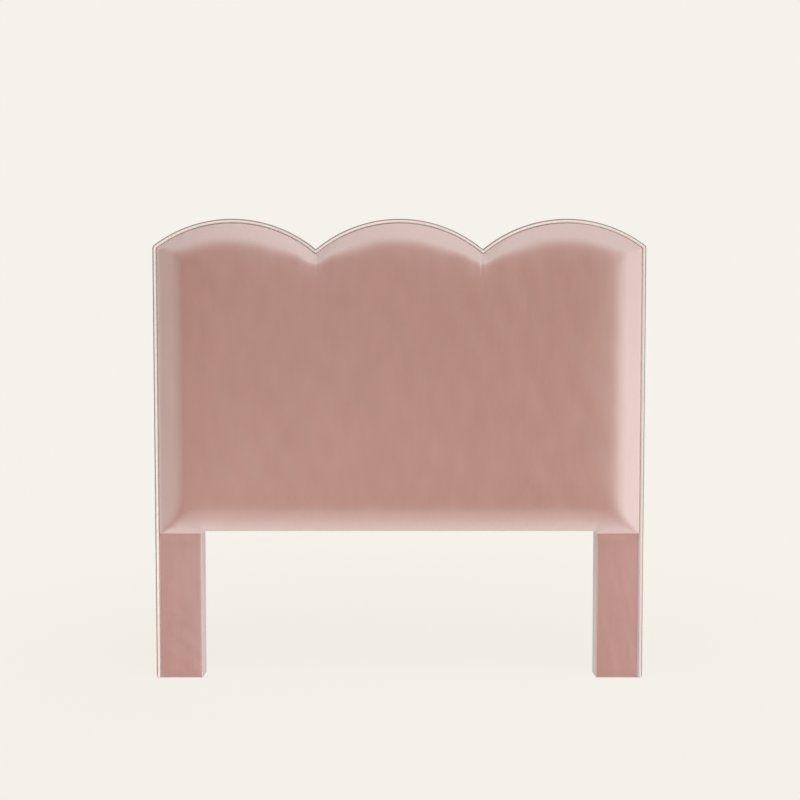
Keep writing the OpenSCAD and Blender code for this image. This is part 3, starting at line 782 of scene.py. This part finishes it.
class Maker:
    """Builds the nodes of one procedural material. Patterns are laid out in the object's own coordinates."""

    def __init__(self, name):
        self.mat = bpy.data.materials.new(name)
        self.mat.use_nodes = True
        self.tree = self.mat.node_tree
        self.shader = self.tree.nodes["Principled BSDF"]
        self.place = self.tree.nodes.new("ShaderNodeTexCoord").outputs["Object"]

    def node(self, kind, **props):
        made = self.tree.nodes.new(kind)
        for key, value in props.items():
            setattr(made, key, value)
        return made

    def link(self, a, b):
        self.tree.links.new(a, b)

    def scaled(self, scale):
        m = self.node("ShaderNodeMapping")
        m.inputs["Scale"].default_value = scale
        self.link(self.place, m.inputs["Vector"])
        return m.outputs["Vector"]

    def noise(self, scale, detail=2.0, rough=0.5, stretch=(1, 1, 1), distortion=0.0):
        n = self.node("ShaderNodeTexNoise")
        n.inputs["Scale"].default_value = scale
        n.inputs["Detail"].default_value = detail
        n.inputs["Roughness"].default_value = rough
        n.inputs["Distortion"].default_value = distortion
        self.link(self.scaled(stretch), n.inputs["Vector"])
        return n.outputs["Fac"]

    def cells(self, scale, stretch=(1, 1, 1)):
        v = self.node("ShaderNodeTexVoronoi")
        v.inputs["Scale"].default_value = scale
        self.link(self.scaled(stretch), v.inputs["Vector"])
        return v.outputs["Distance"]

    def wave(self, scale, direction, distortion=0.0, detail=0.0):
        w = self.node("ShaderNodeTexWave", wave_type="BANDS", wave_profile="SIN", bands_direction=direction)
        w.inputs["Scale"].default_value = scale
        w.inputs["Distortion"].default_value = distortion
        w.inputs["Detail"].default_value = detail
        self.link(self.scaled((1, 1, 1)), w.inputs["Vector"])
        return w.outputs["Fac"]

    def span(self, value, low, high):
        """The value from 0 to 1 brought to the range from low to high."""
        m = self.node("ShaderNodeMapRange")
        m.inputs["From Min"].default_value = 0.25
        m.inputs["From Max"].default_value = 0.75
        m.inputs["To Min"].default_value = low
        m.inputs["To Max"].default_value = high
        self.link(value, m.inputs["Value"])
        return m.outputs["Result"]

    def rise(self, value, low, high):
        """From 0 to 1 as the value goes from low to high."""
        m = self.node("ShaderNodeMapRange")
        m.inputs["From Min"].default_value = low
        m.inputs["From Max"].default_value = high
        self.link(value, m.inputs["Value"])
        return m.outputs["Result"]

    def math(self, operation, a, b):
        m = self.node("ShaderNodeMath", operation=operation)
        for k, value in enumerate((a, b)):
            if isinstance(value, (int, float)):
                m.inputs[k].default_value = value
            else:
                self.link(value, m.inputs[k])
        return m.outputs[0]

    def ramp(self, value, stops):
        r = self.node("ShaderNodeValToRGB")
        while len(r.color_ramp.elements) < len(stops):
            r.color_ramp.elements.new(0.5)
        for element, (place, colour) in zip(r.color_ramp.elements, stops):
            element.position = place
            element.color = (*colour, 1)
        self.link(value, r.inputs["Fac"])
        return r.outputs["Color"]

    def brighten(self, colour, value):
        """The colour times the value."""
        m = self.node("ShaderNodeVectorMath", operation="SCALE")
        self.link(colour, m.inputs[0])
        self.link(value, m.inputs["Scale"])
        return m.outputs["Vector"]

    def painted_sheen_share(self, low, high, light_side_bias):
        """From 0 where the surface faces the front or the back to 1 where it turns away from them: the share
        of painted sheen.
        The normal is shifted by light_side_bias along X and Z, so that the painted sheen comes sooner on the
        sides the light falls on, the right and the top."""
        coords = self.place.node
        biased_normal = self.node("ShaderNodeVectorMath", operation="ADD")
        self.link(coords.outputs["Normal"], biased_normal.inputs[0])
        biased_normal.inputs[1].default_value = (light_side_bias[0], 0, light_side_bias[1])
        across = self.node("ShaderNodeVectorMath", operation="MULTIPLY")
        self.link(biased_normal.outputs["Vector"], across.inputs[0])
        across.inputs[1].default_value = (1, 0, 1)
        size = self.node("ShaderNodeVectorMath", operation="LENGTH")
        self.link(across.outputs["Vector"], size.inputs[0])
        return self.rise(size.outputs["Value"], low, high)

    def outward(self, low, high):
        """From 0 to 1 as a piece on the board's edge turns out of it: upwards, or sideways on the sides."""
        coords = self.place.node
        normal = self.node("ShaderNodeSeparateXYZ")
        self.link(coords.outputs["Normal"], normal.inputs[0])
        at = self.node("ShaderNodeSeparateXYZ")
        self.link(self.place, at.inputs[0])
        on_side = self.math("GREATER_THAN", self.math("ABSOLUTE", at.outputs["X"], 0.0), HALF_W - 0.006)
        sideways = self.math("MULTIPLY", self.math("SIGN", at.outputs["X"], 0.0), normal.outputs["X"])
        out = self.math("ADD", self.math("MULTIPLY", sideways, on_side), normal.outputs["Z"])
        return self.rise(out, low, high)

    def mix(self, share, a, b):
        """Colour a turning into the fixed colour b."""
        m = self.node("ShaderNodeMix", data_type="RGBA")
        self.link(share, m.inputs["Factor"])
        self.link(a, m.inputs["A"])
        m.inputs["B"].default_value = (*b, 1)
        return m.outputs["Result"]

    def bump(self, heights):
        """Bumps from (height, depth in metres) pairs, one after another."""
        normal = None
        for height, depth in heights:
            b = self.node("ShaderNodeBump")
            b.inputs["Strength"].default_value = 1.0
            b.inputs["Distance"].default_value = depth
            self.link(height, b.inputs["Height"])
            if normal is not None:
                self.link(normal, b.inputs["Normal"])
            normal = b.outputs["Normal"]
        self.link(normal, self.shader.inputs["Normal"])

    def done(self, colour, roughness, **constants):
        self.link(colour, self.shader.inputs["Base Color"])
        self.link(roughness, self.shader.inputs["Roughness"])
        for key, value in constants.items():
            self.shader.inputs[key.replace("_", " ")].default_value = value
        return self.mat


def velvet(name, dark, light, pale, pile=0.00022, outer=None):
    """Short-pile velvet: its colour clouds where the pile leans differently, and turns pale where the cloth
    bends away from the front, a painted sheen.
    The colour outer, a painted shade, goes instead on what faces out of the edge."""
    m = Maker(name)
    clouds = m.noise(7.0, 4.0, 0.55, (1, 1, 0.55), 0.4)
    patches = m.noise(26.0, 3.0, 0.5, (1, 1, 0.4))
    streaks = m.noise(90.0, 2.0, 0.5, (1, 1, 0.12))
    grain = m.noise(1400.0, 2.0, 0.6)
    tone = m.math("ADD", m.math("MULTIPLY", clouds, 0.45), m.math("MULTIPLY", patches, 0.55))
    colour = m.ramp(tone, [(0.3, dark), (0.7, light)])
    if outer:
        # painted shade: the dark outer colour on the flank that faces out of the edge
        colour = m.mix(m.outward(-0.05, 0.4), colour, outer)
    else:
        # painted sheen: the pale colour where the cloth turns away from the front, sooner on the right and
        # the top
        colour = m.mix(m.painted_sheen_share(0.07, 0.38, (0.07, 0.04)), colour, pale)
    shade = m.math("MULTIPLY", m.span(streaks, 0.988, 1.012), m.span(grain, 0.96, 1.04))
    colour = m.brighten(colour, shade)
    roughness = m.math("ADD", m.span(patches, 0.57, 0.63), m.span(grain, -0.03, 0.03))
    m.bump([(m.noise(70.0, 2.0, 0.5, (1, 1, 0.5)), 0.0006), (grain, pile)])
    return m.done(colour, roughness, Sheen_Weight=0.6, Sheen_Roughness=0.45,
                  Sheen_Tint=(1.0, 0.96, 0.94, 1), Specular_IOR_Level=0.5)


def wood(name, pale, dark, along, rings=34.0):
    """Sawn wood with its grain along one axis."""
    m = Maker(name)
    stretch = {"x": (0.06, 1, 1), "z": (1, 1, 0.06), "y": (1, 0.06, 1)}[along]
    grain = m.noise(rings, 5.0, 0.6, stretch, 1.2)
    fibre = m.noise(520.0, 2.0, 0.6, stretch)
    colour = m.ramp(grain, [(0.3, dark), (0.5, pale), (0.72, dark)])
    colour = m.brighten(colour, m.span(fibre, 0.9, 1.08))
    m.bump([(grain, 0.0003), (fibre, 0.0002)])
    return m.done(colour, m.span(fibre, 0.62, 0.8))


def plywood(name):
    """Birch plywood: pale faces with long grain, and its layers showing on the cut edges."""
    m = Maker(name)
    layers = m.wave(1000 / 3.6 / math.pi, "Y", 0.3, 1.0)
    grain = m.noise(28.0, 5.0, 0.6, (0.08, 1, 1), 1.0)
    fibre = m.noise(600.0, 2.0, 0.6, (0.05, 1, 1))
    tone = m.math("ADD", m.math("MULTIPLY", grain, 0.6), m.math("MULTIPLY", layers, 0.4))
    colour = m.ramp(tone, [(0.25, (0.36, 0.23, 0.12)), (0.6, (0.66, 0.5, 0.31))])
    colour = m.brighten(colour, m.span(fibre, 0.92, 1.06))
    m.bump([(fibre, 0.0002)])
    return m.done(colour, m.span(fibre, 0.55, 0.72))


def foam(name):
    m = Maker(name)
    pores = m.cells(900.0)
    patch = m.noise(18.0, 3.0, 0.5)
    colour = m.ramp(patch, [(0.3, (0.78, 0.66, 0.36)), (0.7, (0.86, 0.77, 0.5))])
    colour = m.brighten(colour, m.span(pores, 0.86, 1.05))
    m.bump([(pores, 0.0005)])
    return m.done(colour, m.span(pores, 0.85, 0.97))


def fibres(name, dark, light, scale=240.0):
    """Batting or cotton: tangled soft fibres."""
    m = Maker(name)
    tangle = m.noise(scale, 6.0, 0.7, (1, 1, 0.35), 2.5)
    cloud = m.noise(24.0, 3.0, 0.5)
    colour = m.brighten(m.ramp(tangle, [(0.3, dark), (0.7, light)]), m.span(cloud, 0.95, 1.03))
    m.bump([(tangle, 0.0008)])
    return m.done(colour, m.span(tangle, 0.85, 0.98), Sheen_Weight=0.2)


def cambric(name):
    """Non-woven black dust cloth: a fine pressed lattice with tangled threads."""
    m = Maker(name)
    warp = m.wave(300.0, "X")
    weft = m.wave(300.0, "Z")
    lattice = m.math("MULTIPLY", warp, weft)
    threads = m.noise(420.0, 5.0, 0.7, (1, 1, 0.5), 2.0)
    cloud = m.noise(12.0, 4.0, 0.6)
    colour = m.ramp(threads, [(0.3, (0.028, 0.027, 0.027)), (0.75, (0.07, 0.068, 0.066))])
    colour = m.brighten(colour, m.math("MULTIPLY", m.span(cloud, 0.85, 1.15), m.span(lattice, 1.12, 0.92)))
    m.bump([(threads, 0.0002), (lattice, 0.0002)])
    return m.done(colour, m.span(threads, 0.7, 0.88), Sheen_Weight=0.15)


def steel(name):
    m = Maker(name)
    wear = m.noise(300.0, 4.0, 0.6)
    colour = m.ramp(wear, [(0.3, (0.52, 0.52, 0.5)), (0.7, (0.72, 0.72, 0.7))])
    m.bump([(m.noise(900.0, 2.0), 0.00005)])
    return m.done(colour, m.span(wear, 0.28, 0.46), Metallic=1.0)


def nylon(name):
    m = Maker(name)
    haze = m.noise(60.0, 3.0)
    grain = m.noise(1500.0, 2.0)
    colour = m.ramp(haze, [(0.3, (0.62, 0.6, 0.55)), (0.7, (0.7, 0.68, 0.63))])
    m.bump([(grain, 0.00006)])
    return m.done(colour, m.span(grain, 0.38, 0.5))


def card(name):
    m = Maker(name)
    flecks = m.noise(500.0, 5.0, 0.7, (1, 1, 1), 1.0)
    colour = m.ramp(flecks, [(0.3, (0.3, 0.24, 0.17)), (0.7, (0.46, 0.39, 0.29))])
    m.bump([(flecks, 0.0001)])
    return m.done(colour, m.span(flecks, 0.75, 0.9))


def cord_cotton(name):
    """Twisted cotton filler cord."""
    m = Maker(name)
    twist = m.wave(260.0, "DIAGONAL", 1.0, 1.0)
    lint = m.noise(900.0, 4.0, 0.7)
    colour = m.brighten(m.ramp(twist, [(0.2, (0.62, 0.57, 0.47)), (0.8, (0.82, 0.78, 0.69))]),
                        m.span(lint, 0.93, 1.05))
    m.bump([(twist, 0.0004), (lint, 0.0001)])
    return m.done(colour, m.span(lint, 0.82, 0.95))


# ---------------------------------------------------------------- the object

# the third pink is the paler colour of the painted sheen on the velvet's rolls and sides
PINK_DARK, PINK_LIGHT, PINK_PAINTED_SHEEN = (0.297, 0.149, 0.125), (0.328, 0.169, 0.144), (0.480, 0.362, 0.346)
pad_velvet = velvet("velvet_pad", PINK_DARK, PINK_LIGHT, PINK_PAINTED_SHEEN)
band_velvet = velvet("velvet_boxing", PINK_DARK, PINK_LIGHT, PINK_PAINTED_SHEEN)
# the welt's cream colour is a painted highlight along its crown, and its outer colour a painted shade
welt_velvet = velvet("velvet_welt_painted_light", (0.60, 0.53, 0.50), (0.65, 0.58, 0.55), PINK_PAINTED_SHEEN, pile=0.00012,
                     outer=(0.20, 0.155, 0.135))
# the legs' velvet is the pad's, made a little lighter and bluer: painted light
leg_velvet = velvet("velvet_leg_painted_lighter", (0.314, 0.161, 0.141), (0.347, 0.182, 0.162), PINK_PAINTED_SHEEN)


def finish_piece(obj, material, slot_name, *replaced):
    obj.data.materials.clear()
    obj.data.materials.append(material)
    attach(obj, "root")
    if replaced:
        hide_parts(*replaced)
    return obj


pad = build_pad()
shape_pad(pad)
batting_mat = fibres("batting_fibre", (0.74, 0.73, 0.69), (0.92, 0.91, 0.88))
batting_layer = inner_layer("batting_layer", pad, edge=0.0017, lower=0.0019)
foam_core = inner_layer("foam_core", pad, edge=0.0043, lower=0.0062)
subdivide(pad)
close_back(pad, FACE_Y - 0.0002)
finish_piece(pad, pad_velvet, "velvet", "front_cover")
finish_piece(batting_layer, batting_mat, "batting", "batting")
finish_piece(foam_core, foam("foam_cells"), "foam", "foam_slab")

underside = finish_piece(build_underside(), pad_velvet, "velvet")
welt = finish_piece(build_welt(), welt_velvet, "velvet", "welt_cover")
for part in ("left", "crest", "right"):
    finish_piece(
        build_boxing(part + "_boxing_velvet", part), band_velvet, "velvet", part + "_boxing")
for word, side in (("left", -1), ("right", 1)):
    finish_piece(build_leg(word + "_leg_velvet", side), leg_velvet, "velvet",
                              word + "_leg_cover", word + "_leg_batting")
dust = finish_piece(build_dust_cover(), cambric("cambric_black"), "cambric", "dust_cover")

post_wood = wood("pine_upright", (0.66, 0.47, 0.27), (0.5, 0.31, 0.15), "z")
rail_wood = wood("pine_rail", (0.66, 0.47, 0.27), (0.5, 0.31, 0.15), "x")
block_wood = wood("pine_block", (0.62, 0.44, 0.25), (0.47, 0.3, 0.15), "x", 50.0)
dowel_wood = wood("beech_dowel", (0.7, 0.5, 0.33), (0.58, 0.38, 0.23), "x", 90.0)
ply = plywood("birch_plywood")
zinc = steel("zinc_plated_steel")
plain_nodes = {
    post_wood: ["left_post", "right_post", "lower_stile", "upper_stile"],
    rail_wood: ["crest_rail", "mid_rail", "bottom_rail"],
    block_wood: ["corner_blocks"],
    dowel_wood: ["frame_dowels"],
    ply: ["face_panel", "left_leg_facing", "right_leg_facing"],
    zinc: ["block_screws", "panel_screws", "facing_screws", "back_staples"],
    card("tack_strip_card"): ["tack_strip"],
    cord_cotton("cotton_cord"): ["welt_cord"],
    nylon("nylon_glide"): ["left_floor_glides", "right_floor_glides"],
}
for material, names in plain_nodes.items():
    for name in names:
        for holder in nodes[name].material_slots:
            holder.material = material


# ---------------------------------------------------------------- stage, lights and camera

BACKDROP = (0.914, 0.888, 0.823)
AMBIENT = 0.44


def build_floor():
    """A plain pale floor that runs out into the backdrop's colour."""
    n = 64
    radii = [0.0, 1.5, 3.0, 6.0, 40.0]
    points, faces = [(0.0, 0.0, 0.0)], []
    for r in radii[1:]:
        points += [(r * math.cos(math.tau * k / n), r * math.sin(math.tau * k / n), 0.0) for k in range(n)]
    for k in range(n):
        faces.append((0, 1 + k, 1 + (k + 1) % n))
    for ring in range(len(radii) - 2):
        a = 1 + ring * n
        for k in range(n):
            j = (k + 1) % n
            faces.append((a + k, a + n + k, a + n + j, a + j))
    floor = make_object("studio_floor", points, faces)
    mat = bpy.data.materials.new("pale_floor")
    mat.use_nodes = True
    tree = mat.node_tree
    tree.nodes.clear()
    out = tree.nodes.new("ShaderNodeOutputMaterial")
    mix = tree.nodes.new("ShaderNodeMixShader")
    glow = tree.nodes.new("ShaderNodeEmission")
    glow.inputs["Color"].default_value = (*BACKDROP, 1)
    matt = tree.nodes.new("ShaderNodeBsdfDiffuse")
    matt.inputs["Color"].default_value = (0.8, 0.78, 0.73, 1)
    place = tree.nodes.new("ShaderNodeTexCoord")
    away = tree.nodes.new("ShaderNodeVectorMath")
    away.operation = "LENGTH"
    tree.links.new(place.outputs["Object"], away.inputs[0])
    fade = tree.nodes.new("ShaderNodeMapRange")
    fade.interpolation_type = "SMOOTHSTEP"
    for key, value in (("From Min", 0.7), ("From Max", 2.4), ("To Min", 0.08), ("To Max", 0.0)):
        fade.inputs[key].default_value = value
    tree.links.new(away.outputs["Value"], fade.inputs["Value"])
    tree.links.new(fade.outputs["Result"], mix.inputs["Fac"])
    tree.links.new(glow.outputs[0], mix.inputs[1])
    tree.links.new(matt.outputs[0], mix.inputs[2])
    tree.links.new(mix.outputs[0], out.inputs["Surface"])
    floor.data.materials.append(mat)
    return floor


build_floor()

world = bpy.data.worlds.new("studio")
scene.world = world
world.use_nodes = True
sky = world.node_tree.nodes["Background"]
sky.inputs["Color"].default_value = (*BACKDROP, 1)
paths = world.node_tree.nodes.new("ShaderNodeLightPath")
level = world.node_tree.nodes.new("ShaderNodeMapRange")
level.inputs["To Min"].default_value = AMBIENT
level.inputs["To Max"].default_value = 1.0
world.node_tree.links.new(paths.outputs["Is Camera Ray"], level.inputs["Value"])
world.node_tree.links.new(level.outputs["Result"], sky.inputs["Strength"])


def soft_light(name, place, target, size, radiance, shadow=True):
    """A rectangular softbox: its power follows from its radiance and size. A fill light casts no shadow."""
    data = bpy.data.lights.new(name, "AREA")
    data.shape = "RECTANGLE"
    data.size, data.size_y = size
    data.energy = radiance * math.pi * size[0] * size[1]
    data.use_shadow = shadow
    lamp = bpy.data.objects.new(name, data)
    scene.collection.objects.link(lamp)
    lamp.location = place
    lamp.rotation_euler = (Vector(target) - Vector(place)).to_track_quat("-Z", "Y").to_euler()
    lamp.visible_camera = False
    return lamp


# Each light's place, target, size and radiance
soft_light("side_right", (3.2, -1.6, 0.6), (0.2, 0, 0.4), (1.4, 1.0), 8.0)
soft_light("side_fill", (3.2, -1.6, 0.6), (0.2, 0, 0.4), (1.4, 1.0), 8.0, False)
soft_light("inner_right", (3.0, -0.3, 0.3), (-0.7, 0, 0.3), (0.6, 0.5), 3.0, False)
soft_light("over", (0.0, -0.8, 3.6), (0, 0, 1.2), (2.4, 0.8), 7.0)
soft_light("low_left", (-1.2, -2.2, 0.2), (-0.7, 0, 0.2), (1.0, 0.4), 16.4)
soft_light("low_front", (0.0, -1.2, 0.05), (0, 0, 0.5), (2.6, 0.3), 2.6)

LENS = 40.53
CAMERA_DOWN = 2.24
camera_data = bpy.data.cameras.new("camera")
camera_data.lens = LENS
camera_data.sensor_width = 36.0
camera_data.dof.use_dof = False
camera = bpy.data.objects.new("camera", camera_data)
scene.collection.objects.link(camera)
camera.location = (0.0020, -2.898, 1.016)
camera.rotation_euler = (math.radians(90 - CAMERA_DOWN), 0, 0)
scene.camera = camera
scene.view_settings.view_transform = "Standard"
scene.view_settings.look = "None"
